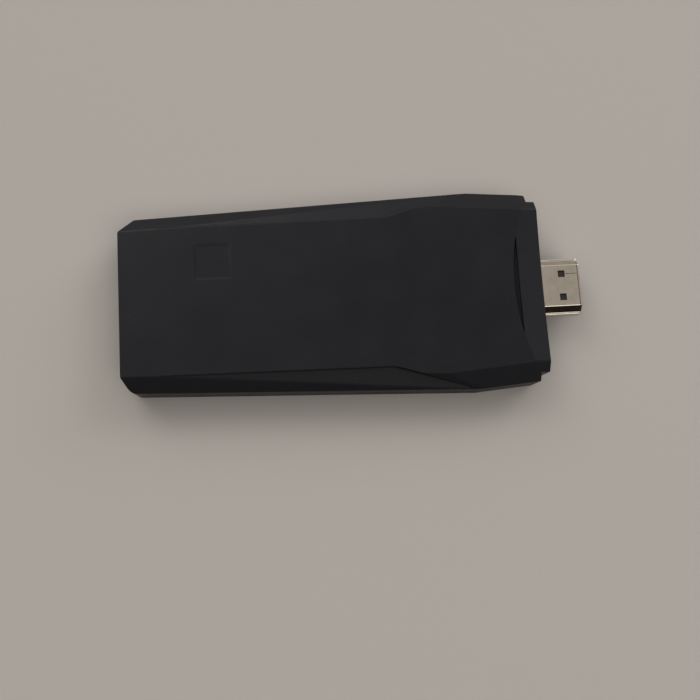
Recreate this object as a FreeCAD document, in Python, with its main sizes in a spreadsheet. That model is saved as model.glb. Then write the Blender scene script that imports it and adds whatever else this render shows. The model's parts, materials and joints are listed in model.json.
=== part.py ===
"""Stick-shaped game console with an HDMI plug on its nose, in millimetres.

X runs from the rear end to the plug, Y to the far long side and Z up. The origin is the
middle of the whole length, on the surface that the stick lies on.
"""
import FreeCAD, Part
import math
import os
import re
import Sketcher

os.makedirs("parts", exist_ok=True)
doc = FreeCAD.newDocument("game_stick")
sheet = doc.addObject("Spreadsheet::Sheet", "sizes")

# Driving sizes. Each one is a cell of the sheet under the same name.
SIZES = {
    # case, seen from above
    "case_length": 99.7,
    "rear_half": 17.1,
    "corner_half": 20.75,
    "corner_run": 3.3,
    "shoulder_half": 24.0,
    "shoulder_back": 16.7,
    "step_half": 22.9,
    "step_back": 2.1,
    "nose_half": 20.9,
    # case, seen from the side
    "case_height": 12.0,
    "parting_height": 4.5,
    "bevel_drop": 3.1,
    "side_wall": 1.6,
    "roof": 1.5,
    "roof_shy": 0.5,
    "floor": 1.5,
    # raised top panel and the scoop behind the nose
    "apex_run": 9.0,
    "apex_half": 17.4,
    "kink_back": 37.0,
    "kink_half": 17.9,
    "kink_step": 0.7,
    "ridge_half": 18.5,
    "ridge_back": 3.9,
    "scoop_back": 7.3,
    "scoop_drop": 1.6,
    "groove_width": 1.35,
    "groove_depth": 0.8,
    "badge_side": 8.6,
    "badge_depth": 0.2,
    "badge_run": 17.5,
    "badge_offset": 8.9,
    # joint between the covers
    "lip_rise": 1.2,
    "lip_thick": 0.8,
    "lip_gap": 0.1,
    "hook_length": 5.0,
    "hook_reach": 0.45,
    "hook_rise": 0.6,
    "hook_gap": 0.12,
    # vents in the floor
    "vent_width": 1.4,
    "vent_length": 11.0,
    "vent_pitch": 3.2,
    "vent_count": 9,
    "vent_offset": 9.0,
    # board and its screws
    "board_thick": 1.0,
    "board_gap": 0.5,
    "boss_radius": 2.0,
    "boss_inset": 3.4,
    "screw_radius": 0.8,
    "screw_hole_gap": 0.15,
    "screw_head_radius": 1.5,
    "screw_head_rise": 0.8,
    "screw_grip": 3.4,
    # plug
    "plug_reach": 9.7,
    "plug_width": 13.9,
    "plug_thick": 4.45,
    "plug_flange_rise": 3.0,
    "plug_crown": 10.0,
    "plug_slant": 1.4,
    "plug_tail": 9.0,
    "plug_sheet": 0.35,
    "plug_gap": 0.15,
    "plug_window": 1.65,
    "plug_window_run": 5.2,
    "plug_window_half": 2.84,
    "plug_slot_width": 11.0,
    "plug_slot_depth": 7.0,
    "plug_mouth": 1.0,
    "plug_pitch": 1.0,
    "plug_contact": 0.45,
    "contact_sheet": 0.2,
    # rear port
    "port_width": 13.1,
    "port_thick": 5.7,
    "port_depth": 14.0,
    "port_sheet": 0.3,
    "port_recess": 0.4,
    "port_gap": 0.2,
    "tab_reach": 1.4,
    "tab_length": 1.6,
    "port_tongue_width": 11.1,
    "port_tongue_thick": 1.84,
    "port_tongue_length": 8.4,
    "port_tongue_drop": 0.7,
    "port_block": 3.0,
    "port_pitch": 2.4,
    "port_contact": 1.0,
    # power port on the far side
    "power_back": 29.0,
    "power_width": 7.5,
    "power_thick": 2.6,
    "power_depth": 5.2,
    "power_sheet": 0.25,
    "power_recess": 0.4,
    "power_bevel": 0.8,
    "power_tongue_width": 3.7,
    "power_tongue_thick": 0.6,
    "power_tongue_length": 3.2,
    "power_block": 1.1,
    "power_pitch": 0.65,
    "power_contact": 0.3,
    # memory card and its socket on the far side
    "card_run": 42.7,
    "card_width": 11.0,
    "card_length": 15.0,
    "card_thick": 0.7,
    "card_notch": 1.3,
    "card_notch_run": 7.6,
    "card_ridge": 0.3,
    "card_ridge_run": 1.5,
    "card_gap": 0.15,
    "card_out": 3.0,
    "card_in": 0.5,
    "card_pad_pitch": 1.1,
    "card_pad": 0.5,
    "card_pad_run": 5.0,
    "socket_thick": 1.75,
    "socket_sheet": 0.2,
    "socket_base": 0.5,
    "socket_side": 0.5,
    "socket_back": 0.4,
    "slider_bar": 0.9,
    "slider_arm": 2.4,
    "slider_thick": 0.7,
    "slider_length": 6.5,
    "spring_radius": 0.42,
    "spring_wire": 0.15,
    "spring_turns": 11,
    "scoop_side": 0.7,
    "scoop_margin": 1.6,
    # chips on the top of the board
    "processor_side": 14.0,
    "processor_rise": 1.2,
    "processor_back": 43.0,
    "pad_thick": 0.4,
    "spreader_length": 26.0,
    "spreader_width": 22.0,
    "spreader_thick": 0.7,
    "spreader_fin": 0.5,
    "spreader_gap": 0.7,
    "memory_length": 13.0,
    "memory_width": 8.0,
    "memory_rise": 1.0,
    "storage_length": 12.0,
    "storage_width": 18.0,
    "crystal_length": 3.2,
    "crystal_width": 2.5,
    "crystal_rise": 0.8,
    "coil_side": 4.0,
    "coil_rise": 1.8,
    "regulator_side": 3.0,
    "regulator_rise": 0.9,
    "tank_length": 3.5,
    "tank_width": 2.8,
    "tank_rise": 1.6,
    "chip_part_length": 1.0,
    "chip_part_width": 0.5,
    "chip_part_rise": 0.5,
    "resistor_rise": 0.35,
    "chip_part_pitch": 1.4,
    "chip_space": 1.8,
    "lamp_length": 1.6,
    "lamp_width": 0.8,
    "lamp_rise": 0.6,
}

# Where the snap hooks are, as shares of the long side from the rear.
HOOK_SHARES = (0.15, 0.32, 0.66, 0.94)

# Share of an inset by which the ends of a 45-degree side move along its neighbours.
MITRE = round(math.tan(math.pi / 8), 3)

# Places that follow from the driving sizes.
PLACES = {
    "rear_x": "-(case_length + plug_reach) / 2",
    "nose_x": "rear_x + case_length",
    "tip_x": "nose_x + plug_reach",
    "corner_x": "rear_x + corner_run",
    "shoulder_x": "nose_x - shoulder_back",
    "step_x": "nose_x - step_back",
    "bevel_foot": "case_height - bevel_drop",
    "roof_z": "case_height - roof",
    "board_top": "roof_z - spreader_gap - spreader_fin - spreader_thick - pad_thick - processor_rise",
    "board_low": "board_top - board_thick",
    "lip_back": "side_wall + lip_gap + lip_thick",
    "board_inset": "lip_back + board_gap",
    "wall_slope": "(shoulder_half - corner_half) / (shoulder_x - corner_x)",
    "board_rear": "rear_x + board_inset",
    "plug_centre": "board_low + board_thick / 2",
    "plug_low": "plug_centre - plug_thick / 2",
    "plug_high": "plug_centre + plug_thick / 2",
    "plug_back": "nose_x - plug_tail",
    "port_mouth": "rear_x + port_recess",
    "port_centre": "board_low + board_thick / 2",
    "port_low": "port_centre - port_thick / 2",
    "port_high": "port_centre + port_thick / 2",
    "port_back": "port_mouth + port_depth",
    "power_x": "nose_x - power_back",
    "power_wall": "corner_half + wall_slope * (power_x - power_width / 2 - corner_x)",
    "power_mouth": "power_wall - power_recess",
    "power_low": "board_low - power_thick",
    "card_x": "rear_x + card_run",
    "card_wall": "corner_half + wall_slope * (card_x - corner_x)",
    "slider_side": "card_gap + slider_bar + 2 * card_gap + 2 * spring_radius",
    "socket_left": "card_x - card_width / 2 - slider_side - socket_side",
    "socket_right": "card_x + card_width / 2 + card_gap + socket_side",
    "socket_mouth": "corner_half + wall_slope * (socket_left - corner_x) - side_wall - card_gap",
    "slider_rear": "card_wall - card_length - card_gap / 3 - slider_thick",
    "slider_front": "slider_rear + slider_length",
    "socket_rear": "slider_rear - card_in - 2 * card_gap - socket_back",
    "socket_low": "board_low - socket_thick",
    "card_low": "socket_low + socket_sheet + card_gap",
    "card_high": "card_low + card_thick",
    "processor_x": "nose_x - processor_back",
    "processor_top": "board_top + processor_rise",
    "spreader_low": "processor_top + pad_thick",
}


def expand(text):
    """Write a size or place name out as an expression on the sheet's cells."""
    def swap(match):
        word = match.group()
        if word in SIZES:
            return "sizes." + word
        if word in PLACES:
            return "(" + expand(PLACES[word]) + ")"
        return word
    return re.sub(r"[a-z_]+", swap, text)


def fill_sheet():
    """Put each driving size in the sheet, with its name beside it."""
    for row, (name, size) in enumerate(SIZES.items(), start=1):
        sheet.set("A%d" % row, name)
        sheet.set("B%d" % row, str(size))
        sheet.setAlias("B%d" % row, name)
    doc.recompute()


fill_sheet()


def value(text):
    """Give the number that an expression on sizes and places has now."""
    return float(sheet.evalExpression(expand(text).replace("sizes.", "")))


def bind(item, prop, text):
    """Tie one property of an object to an expression."""
    item.setExpression(prop, expand(text))


def put(item, x="0", y="0", z="0"):
    """Tie an object's place to three expressions."""
    bind(item, "Placement.Base.x", x)
    bind(item, "Placement.Base.y", y)
    bind(item, "Placement.Base.z", z)
    return item


def box(label, x, y, z):
    """Box between two expressions on each axis."""
    item = doc.addObject("Part::Box", "box")
    item.Label = label
    bind(item, "Length", "(%s) - (%s)" % (x[1], x[0]))
    bind(item, "Width", "(%s) - (%s)" % (y[1], y[0]))
    bind(item, "Height", "(%s) - (%s)" % (z[1], z[0]))
    return put(item, x[0], y[0], z[0])


def block(label, centre, size, low):
    """Box on a centre in plan, standing on a height."""
    x = ("%s - (%s) / 2" % (centre[0], size[0]), "%s + (%s) / 2" % (centre[0], size[0]))
    y = ("%s - (%s) / 2" % (centre[1], size[1]), "%s + (%s) / 2" % (centre[1], size[1]))
    return box(label, x, y, (low, "%s + %s" % (low, size[2])))


def rod(label, radius, x, y, z):
    """Upright cylinder on a centre in plan, between two heights."""
    item = doc.addObject("Part::Cylinder", "rod")
    item.Label = label
    bind(item, "Radius", radius)
    bind(item, "Height", "(%s) - (%s)" % (z[1], z[0]))
    return put(item, x, y, z[0])


def group(label, items):
    """Several solids kept as one object, joined only where they meet."""
    item = doc.addObject("Part::MultiFuse", "group")
    item.Label = label
    item.Shapes = items
    item.Refine = True
    return item


def less(label, base, tools):
    """A solid with one or more tools taken out of it."""
    tool = tools[0] if len(tools) == 1 else group(label + " tools", tools)
    item = doc.addObject("Part::Cut", "cut")
    item.Label = label
    item.Base = base
    item.Tool = tool
    item.Refine = True
    return item


def make_body(label):
    """Empty body with a label."""
    body = doc.addObject("PartDesign::Body", "body")
    body.Label = label
    return body


def outline_sketch(body, plane, offset, loops):
    """Sketch of closed polygons, every corner tied to a pair of expressions."""
    sketch = body.newObject("Sketcher::SketchObject", "outline")
    support = [item for item in body.Origin.OriginFeatures if item.Role == plane][0]
    sketch.AttachmentSupport = [(support, "")]
    sketch.MapMode = "FlatFace"
    bind(sketch, "AttachmentOffset.Base.z", offset)
    for loop in loops:
        first = sketch.GeometryCount
        count = len(loop)
        corners = [FreeCAD.Vector(value(x), value(y), 0) for x, y in loop]
        for step in range(count):
            sketch.addGeometry(Part.LineSegment(corners[step], corners[(step + 1) % count]))
        for step in range(count):
            line = first + step
            after = first + (step + 1) % count
            sketch.addConstraint(Sketcher.Constraint("Coincident", line, 2, after, 1))
            along = Sketcher.Constraint("DistanceX", -1, 1, line, 1, corners[step].x)
            bind(sketch, "Constraints[%d]" % sketch.addConstraint(along), loop[step][0])
            across = Sketcher.Constraint("DistanceY", -1, 1, line, 1, corners[step].y)
            bind(sketch, "Constraints[%d]" % sketch.addConstraint(across), loop[step][1])
    return sketch


def pad(body, plane, offset, loops, length):
    """Pad polygons along the plane's normal."""
    sketch = outline_sketch(body, plane, offset, loops)
    feature = body.newObject("PartDesign::Pad", "pad")
    feature.Profile = sketch
    bind(feature, "Length", length)
    sketch.Visibility = False
    return feature


def pocket(body, plane, offset, loops, length):
    """Pocket polygons along the plane's normal, into the solid."""
    sketch = outline_sketch(body, plane, offset, loops)
    feature = body.newObject("PartDesign::Pocket", "pocket")
    feature.Profile = sketch
    feature.Reversed = True
    bind(feature, "Length", length)
    sketch.Visibility = False
    return feature


def rectangle(x0, x1, y0, y1):
    """Corners of a rectangle, as pairs of expressions."""
    return [(x0, y0), (x1, y0), (x1, y1), (x0, y1)]


def mirrored(points):
    """Close a half outline with its mirror image across the first axis."""
    return points + [(x, "-(%s)" % y) for x, y in reversed(points)]


def case_outline(inset):
    """The case seen from above, every side moved in by an expression."""
    diagonal = "(%s) * %s" % (inset, MITRE)
    return mirrored([
        ("rear_x + (%s)" % inset, "rear_half - %s" % diagonal),
        ("corner_x + %s" % diagonal, "corner_half - (%s)" % inset),
        ("shoulder_x", "shoulder_half - (%s)" % inset),
        ("step_x - (%s)" % inset, "step_half - (%s)" % inset),
    ])


def outer_outline():
    """The case seen from above, with the notches beside the nose."""
    return mirrored([
        ("rear_x", "rear_half"),
        ("corner_x", "corner_half"),
        ("shoulder_x", "shoulder_half"),
        ("step_x", "step_half"),
        ("step_x", "nose_half"),
        ("nose_x", "nose_half"),
    ])


def point(x, y, z):
    """Point of three expressions."""
    return FreeCAD.Vector(value(x), value(y), value(z))


def flip(spot):
    """The same point on the other long side."""
    return FreeCAD.Vector(spot.x, -spot.y, spot.z)


def prism(corners, low, high):
    """Upright solid on a polygon seen from above."""
    ring = [FreeCAD.Vector(spot.x, spot.y, low) for spot in corners]
    face = Part.Face(Part.makePolygon(ring + ring[:1]))
    return face.extrude(FreeCAD.Vector(0, 0, high - low))


def above(spots):
    """Large block above the plane through three points."""
    reach = 3 * value("case_length")
    normal = (spots[1] - spots[0]).cross(spots[2] - spots[0]).normalize()
    if normal.z < 0:
        normal = -normal
    solid = Part.makeBox(reach, reach, reach, FreeCAD.Vector(-reach / 2, -reach / 2, 0))
    solid.Placement = FreeCAD.Placement(spots[0], FreeCAD.Rotation(FreeCAD.Vector(0, 0, 1), normal))
    return solid


def both_sides(spots):
    """The block above a sloping plane and its mirror image."""
    return [above(spots), above([flip(spot) for spot in spots])]


def case_points():
    """Corners that the sloping faces of the top cover pass through."""
    return {
        "rear": point("rear_x", "rear_half", "bevel_foot"),
        "corner": point("corner_x", "corner_half", "bevel_foot"),
        "shoulder": point("shoulder_x", "shoulder_half", "bevel_foot"),
        "step": point("step_x", "step_half", "bevel_foot"),
        "apex": point("rear_x + apex_run", "apex_half", "case_height"),
        "kink": point("nose_x - kink_back", "kink_half", "case_height - kink_step"),
        "ridge": point("nose_x - ridge_back", "ridge_half", "case_height"),
    }


def scoop_tool(spots):
    """Hollow face behind the nose: an arc across the case, carried forward and down."""
    start = value("nose_x - scoop_back")
    top = value("case_height")
    fall = value("scoop_drop / scoop_back")
    rise = fall * value("scoop_back - ridge_back")
    half = value("ridge_half")
    normal = (spots["step"] - spots["shoulder"]).cross(spots["ridge"] - spots["shoulder"])
    side_fall = abs(normal.y / normal.z)
    wide = 2 * half
    low_edge = rise - side_fall * (wide - half)
    left = FreeCAD.Vector(start, -half, top + rise)
    right = FreeCAD.Vector(start, half, top + rise)
    middle = FreeCAD.Vector(start, 0, top)
    far_left = FreeCAD.Vector(start, -wide, top + low_edge)
    far_right = FreeCAD.Vector(start, wide, top + low_edge)
    lid_left = FreeCAD.Vector(start, -wide, 2 * top)
    lid_right = FreeCAD.Vector(start, wide, 2 * top)
    edges = [
        Part.makeLine(far_left, left),
        Part.Arc(left, middle, right).toShape(),
        Part.makeLine(right, far_right),
        Part.makeLine(far_right, lid_right),
        Part.makeLine(lid_right, lid_left),
        Part.makeLine(lid_left, far_left),
    ]
    run = 2 * value("scoop_back")
    return Part.Face(Part.Wire(edges)).extrude(FreeCAD.Vector(run, 0, -fall * run))


def groove_tool():
    """Thin curved groove along the rear edge of the scoop, widest in the middle."""
    start = value("nose_x - scoop_back")
    top = value("case_height")
    width = value("groove_width")
    fall = value("scoop_drop / scoop_back")
    rise = fall * value("scoop_back - ridge_back")
    radius = (value("ridge_half") ** 2 + rise ** 2) / (2 * rise)
    reach = math.sqrt(2 * radius * fall * width)
    low = top - value("groove_depth")
    back = FreeCAD.Vector(start, 0, low)
    left = FreeCAD.Vector(start + width, -reach, low)
    right = FreeCAD.Vector(start + width, reach, low)
    edges = [Part.Arc(left, back, right).toShape(), Part.makeLine(right, left)]
    return Part.Face(Part.Wire(edges)).extrude(FreeCAD.Vector(0, 0, top))


def top_form():
    """Outer form of the top cover, with its sloping faces, raised panel, scoop and badge."""
    spots = case_points()
    low = value("parting_height")
    high = value("case_height")
    half = [
        spots["rear"], spots["corner"], spots["shoulder"], spots["step"],
        point("step_x", "nose_half", "bevel_foot"), point("nose_x", "nose_half", "bevel_foot"),
    ]
    outline = half + [flip(spot) for spot in reversed(half)]
    blank = prism(outline, low, high)
    for tool in both_sides([spots["corner"], spots["shoulder"], spots["apex"]]):
        blank = blank.cut(tool)
    for tool in both_sides([spots["shoulder"], spots["step"], spots["ridge"]]):
        blank = blank.cut(tool)
    ring = [spots["rear"], spots["corner"], spots["apex"], spots["kink"]] + half[2:]
    panel = prism(ring + [flip(spot) for spot in reversed(ring)], low, high)
    raised = blank.common(panel)
    lower = blank
    for tool in both_sides([spots["apex"], spots["kink"], spots["shoulder"]]):
        lower = lower.cut(tool)
    shape = raised.fuse(lower)
    shape = shape.cut(scoop_tool(spots)).cut(groove_tool())
    side = value("badge_side")
    corner = FreeCAD.Vector(value("rear_x + badge_run"), value("badge_offset") - side / 2, high)
    corner.z -= value("badge_depth")
    return shape.cut(Part.makeBox(side, side, high, corner)).removeSplitter()


def feature(label, shape):
    """Object that holds a shape worked out here."""
    item = doc.addObject("Part::Feature", "form")
    item.Label = label
    item.Shape = shape
    return item


def wall_openings():
    """Tools for the plug, the ports and the card, used on both covers."""
    plug = block(
        "plug opening", ("nose_x", "0"),
        ("2 * (plug_tail + side_wall)", "plug_width + 2 * plug_gap", "plug_thick + 2 * plug_gap"),
        "plug_low - plug_gap")
    port = block(
        "port opening", ("rear_x", "0"),
        ("2 * (lip_back + side_wall)", "port_width + 2 * port_gap", "port_thick + 2 * port_gap"),
        "port_low - port_gap")
    power = box(
        "power opening",
        ("power_x - power_width / 2 - port_gap", "power_x + power_width / 2 + port_gap"),
        ("power_mouth - power_depth", "shoulder_half + side_wall"),
        ("power_low - port_gap", "board_low + port_gap"))
    slot = box(
        "card slot",
        ("card_x - card_width / 2 - 2 * card_gap", "card_x + card_width / 2 + 2 * card_gap"),
        ("socket_mouth - lip_thick", "shoulder_half + side_wall"),
        ("card_low - card_ridge - card_gap", "card_high + 2 * card_gap"))
    seat = box(
        "socket clearance",
        ("socket_left - 2 * card_gap", "socket_right + 2 * card_gap"),
        ("socket_rear", "socket_mouth + card_gap / 2"),
        ("socket_low - card_gap", "board_low + card_gap"))
    finger = box(
        "finger hollow",
        ("card_x - card_width / 2 - scoop_margin", "card_x + card_width / 2 + scoop_margin"),
        ("card_wall - scoop_side", "shoulder_half + side_wall"),
        ("card_low - card_ridge - scoop_margin", "card_high + scoop_margin"))
    return [plug, port, power, slot, seat, finger]


def hook_boxes(label, gap):
    """Snap hooks along both long sides, grown by a gap where they leave room for themselves."""
    items = []
    for run in HOOK_SHARES:
        middle = "(corner_x + (shoulder_x - corner_x) * %s)" % run
        wall = "(corner_half + wall_slope * (%s - corner_x) - side_wall - lip_gap)" % middle
        for side in ("", "-"):
            near = "%s - lip_thick / 2" % wall
            far = "%s + hook_reach + %s" % (wall, gap)
            across = (near, far) if side == "" else ("-(%s)" % far, "-(%s)" % near)
            along = ("%s - hook_length / 2 - %s" % (middle, gap),
                     "%s + hook_length / 2 + %s" % (middle, gap))
            height = ("parting_height + hook_rise / 2 - %s" % gap,
                      "parting_height + hook_rise * 1.5 + %s" % gap)
            items.append(box(label, along, across, height))
    return items


def make_top_cover(openings):
    """Upper shell: the outer form with its hollow, wall openings and hook pockets."""
    hollow = make_body("top hollow")
    pad(hollow, "XY_Plane", "parting_height", [case_outline("side_wall")],
        "bevel_foot - roof_shy - parting_height")
    attic = box(
        "top hollow under the panel",
        ("rear_x + side_wall", "nose_x - scoop_back - side_wall"),
        ("-(kink_half - side_wall)", "kink_half - side_wall"),
        ("parting_height", "roof_z"))
    nose = box(
        "nose hollow", ("step_x - 2 * side_wall", "step_x - side_wall"),
        ("-(step_half - side_wall)", "step_half - side_wall"),
        ("parting_height", "bevel_foot - roof_shy"))
    form = feature("top form", top_form())
    pockets = hook_boxes("hook pocket", "hook_gap")
    return less("top_cover", form, [hollow, attic, nose] + openings + pockets)


def make_bottom_cover(openings):
    """Lower shell: floor with vents, lip with hooks, and the bosses that carry the board."""
    body = make_body("bottom shell")
    pad(body, "XY_Plane", "0", [outer_outline()], "parting_height")
    pad(body, "XY_Plane", "floor", [case_outline("side_wall + lip_gap")],
        "parting_height + lip_rise - floor")
    pocket(body, "XY_Plane", "floor", [case_outline("lip_back")], "case_height")
    slots = pocket(
        body, "XY_Plane", "0",
        [rectangle("processor_x - (vent_count - 1) * vent_pitch / 2 - vent_width / 2",
                   "processor_x - (vent_count - 1) * vent_pitch / 2 + vent_width / 2",
                   side + "vent_offset - vent_length / 2", side + "vent_offset + vent_length / 2")
         for side in ("", "-")],
        "2 * floor")
    row = body.newObject("PartDesign::LinearPattern", "vents")
    row.Originals = [slots]
    row.Direction = (slots.Profile[0], ["H_Axis"])
    bind(row, "Length", "(vent_count - 1) * vent_pitch")
    bind(row, "Occurrences", "vent_count")
    body.Tip = row
    bosses = [rod("boss", "boss_radius", x, y, ("floor / 2", "board_low")) for x, y in screw_places()]
    holes = [rod("pilot hole", "screw_radius + screw_hole_gap / 3", x, y,
                 ("board_low - screw_grip - screw_hole_gap", "board_low + lip_rise"))
             for x, y in screw_places()]
    hooks = hook_boxes("hook", "0")
    shell = less("bottom shell with openings", body, openings)
    return less("bottom_cover", group("bottom blank", [shell] + bosses + hooks), holes)


def screw_places():
    """Centres of the four board screws."""
    rear_x = "board_rear + boss_inset"
    front_x = "shoulder_x"
    rear_y = "corner_half - board_inset - boss_inset"
    front_y = "shoulder_half - board_inset - boss_inset"
    near = [(rear_x, rear_y), (front_x, front_y)]
    return near + [(x, "-(%s)" % y) for x, y in near]


def make_board():
    """Main board, cut out round the plug and the rear port, with four screw holes."""
    body = make_body("main_board")
    pad(body, "XY_Plane", "board_low", [case_outline("board_inset")], "board_thick")
    port = rectangle("board_rear - side_wall", "port_back + port_gap",
                     "-(port_width / 2 + port_gap)", "port_width / 2 + port_gap")
    plug = rectangle("plug_back - plug_gap", "nose_x",
                     "-(plug_width / 2 + plug_gap)", "plug_width / 2 + plug_gap")
    pocket(body, "XY_Plane", "board_low", [port, plug], "2 * board_thick")
    sketch = body.newObject("Sketcher::SketchObject", "holes")
    plane = [item for item in body.Origin.OriginFeatures if item.Role == "XY_Plane"][0]
    sketch.AttachmentSupport = [(plane, "")]
    sketch.MapMode = "FlatFace"
    bind(sketch, "AttachmentOffset.Base.z", "board_low")
    for ring, (x, y) in enumerate(screw_places()):
        centre = FreeCAD.Vector(value(x), value(y), 0)
        sketch.addGeometry(Part.Circle(centre, FreeCAD.Vector(0, 0, 1), value("screw_radius")))
        along = sketch.addConstraint(Sketcher.Constraint("DistanceX", -1, 1, ring, 3, centre.x))
        across = sketch.addConstraint(Sketcher.Constraint("DistanceY", -1, 1, ring, 3, centre.y))
        size = sketch.addConstraint(Sketcher.Constraint("Radius", ring, value("screw_radius")))
        bind(sketch, "Constraints[%d]" % along, x)
        bind(sketch, "Constraints[%d]" % across, y)
        bind(sketch, "Constraints[%d]" % size, "screw_radius + screw_hole_gap")
    holes = body.newObject("PartDesign::Pocket", "holes")
    holes.Profile = sketch
    holes.Reversed = True
    bind(holes, "Length", "2 * board_thick")
    return body


def make_screws():
    """Four pan-head screws that hold the board on the bosses."""
    solids = []
    for x, y in screw_places():
        top = "board_top + screw_head_rise"
        shank = rod("shank", "screw_radius", x, y, ("board_low - screw_grip", top))
        head = rod("head", "screw_head_radius", x, y, ("board_top", top))
        slot = block("driver slot", (x, y), ("2 * screw_radius", "screw_radius / 2", "screw_radius"),
                     "board_top + screw_head_rise / 2")
        solids.append(less("screw", group("screw blank", [shank, head]), [slot]))
    return group("board_screws", solids)


def plug_profile(inset):
    """Cross-section of the plug: wide below, a narrow crown above."""
    thin = "(%s)" % inset
    half = "(plug_width / 2 - %s)" % thin
    crown = "(plug_crown / 2 - %s * %s)" % (thin, MITRE)
    return [
        ("-%s" % half, "plug_low + %s" % thin),
        (half, "plug_low + %s" % thin),
        (half, "plug_low + plug_flange_rise - %s" % thin),
        ("%s + plug_slant" % crown, "plug_low + plug_flange_rise - %s" % thin),
        (crown, "plug_high - %s" % thin),
        ("-%s" % crown, "plug_high - %s" % thin),
        ("-(%s + plug_slant)" % crown, "plug_low + plug_flange_rise - %s" % thin),
        ("-%s" % half, "plug_low + plug_flange_rise - %s" % thin),
    ]


def make_plug():
    """Plug shell with its two windows and seam, its carrier and its two rows of contacts."""
    body = make_body("plug shell")
    pad(body, "YZ_Plane", "plug_back", [plug_profile("0"), plug_profile("plug_sheet")],
        "tip_x - plug_back")
    windows = [
        block("window", ("nose_x + plug_window_run", side + "plug_window_half"),
              ("plug_window", "plug_window", "2 * plug_sheet"), "plug_high - plug_sheet * 1.5")
        for side in ("", "-")]
    seam = box("seam", ("nose_x + plug_window_run", "tip_x + plug_sheet"),
               ("plug_window_half - plug_sheet / 6", "plug_window_half + plug_sheet / 6"),
               ("plug_high - plug_sheet / 3", "plug_high + plug_sheet"))
    tabs = [board_tab("plug_back + tab_length", side, "plug_width") for side in ("", "-")]
    shell = less("hdmi_shell", group("shell with tabs", [body] + tabs), windows + [seam])
    blank = make_body("carrier blank")
    pad(blank, "YZ_Plane", "plug_back", [plug_profile("plug_sheet")],
        "tip_x - plug_mouth - plug_back")
    slot = box("tongue slot", ("tip_x - plug_mouth - plug_slot_depth", "tip_x"),
               ("-plug_slot_width / 2", "plug_slot_width / 2"),
               ("board_low - contact_sheet", "board_top + contact_sheet"))
    strips = []
    for count, low in ((10, "board_top"), (9, "board_low - contact_sheet")):
        for place in range(count):
            middle = "plug_pitch * %s" % (place - (count - 1) / 2)
            strips.append(box(
                "contact", ("plug_back - tab_length", "tip_x - plug_mouth - plug_contact"),
                ("%s - plug_contact / 2" % middle, "%s + plug_contact / 2" % middle),
                (low, "%s + contact_sheet" % low)))
    contacts = group("hdmi_contacts", strips)
    carrier = less("hdmi_carrier", blank, [slot, contacts])
    return [shell, carrier, contacts]


def board_tab(x, side, width):
    """Solder tab that reaches out from a shell's side and lies on the board."""
    inner = "(%s) / 2 - port_sheet" % width
    outer = "(%s) / 2 + tab_reach" % width
    across = (inner, outer) if side == "" else ("-(%s)" % outer, "-(%s)" % inner)
    return box("solder tab", ("%s - tab_length / 2" % x, "%s + tab_length / 2" % x), across,
               ("board_top", "board_top + port_sheet"))


def frame_loops(half, low, high, sheet_name):
    """Outer and inner rectangle of a folded sheet shell."""
    inner = "(%s) - %s" % (half, sheet_name)
    return [
        rectangle("-(%s)" % half, half, low, high),
        rectangle("-(%s)" % inner, inner, "%s + %s" % (low, sheet_name), "%s - %s" % (high, sheet_name)),
    ]


def make_port():
    """Rear port: shell with board tabs, plastic block with its tongue, and four contacts."""
    body = make_body("port shell")
    loops = frame_loops("port_width / 2", "port_low", "port_high", "port_sheet")
    pad(body, "YZ_Plane", "port_mouth", loops, "port_depth")
    tabs = [board_tab(place, side, "port_width")
            for place in ("port_back - 2 * tab_length", "board_rear + 2 * tab_length")
            for side in ("", "-")]
    shell = group("usb_port_shell", [body] + tabs)
    half = "port_width / 2 - port_sheet"
    rear = box("port block", ("port_back - port_block", "port_back"), ("-(%s)" % half, half),
               ("port_low + port_sheet", "port_high - port_sheet"))
    tongue_top = "port_high - port_sheet - port_tongue_drop"
    tongue_low = tongue_top + " - port_tongue_thick"
    tongue = box("tongue", ("port_back - port_block - port_tongue_length", "port_back - port_block / 2"),
                 ("-port_tongue_width / 2", "port_tongue_width / 2"), (tongue_low, tongue_top))
    strips = []
    for place in range(4):
        middle = "port_pitch * %s" % (place - 1.5)
        strips.append(box(
            "contact", ("port_back - port_block - port_tongue_length + port_contact", "port_back"),
            ("%s - port_contact / 2" % middle, "%s + port_contact / 2" % middle),
            (tongue_low + " - contact_sheet", tongue_low)))
    contacts = group("usb_port_contacts", strips)
    plastic = less("usb_port_tongue", group("port plastic", [rear, tongue]), [contacts])
    return [shell, plastic, contacts]


def power_profile(inset):
    """Cross-section of the power port, its two lower corners cut off."""
    half = "(power_width / 2 - (%s))" % inset
    low = "power_low + (%s)" % inset
    return [
        ("power_x - %s" % half, "board_low - (%s)" % inset),
        ("power_x - %s" % half, low + " + power_bevel"),
        ("power_x - %s + power_bevel" % half, low),
        ("power_x + %s - power_bevel" % half, low),
        ("power_x + %s" % half, low + " + power_bevel"),
        ("power_x + %s" % half, "board_low - (%s)" % inset),
    ]


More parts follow.
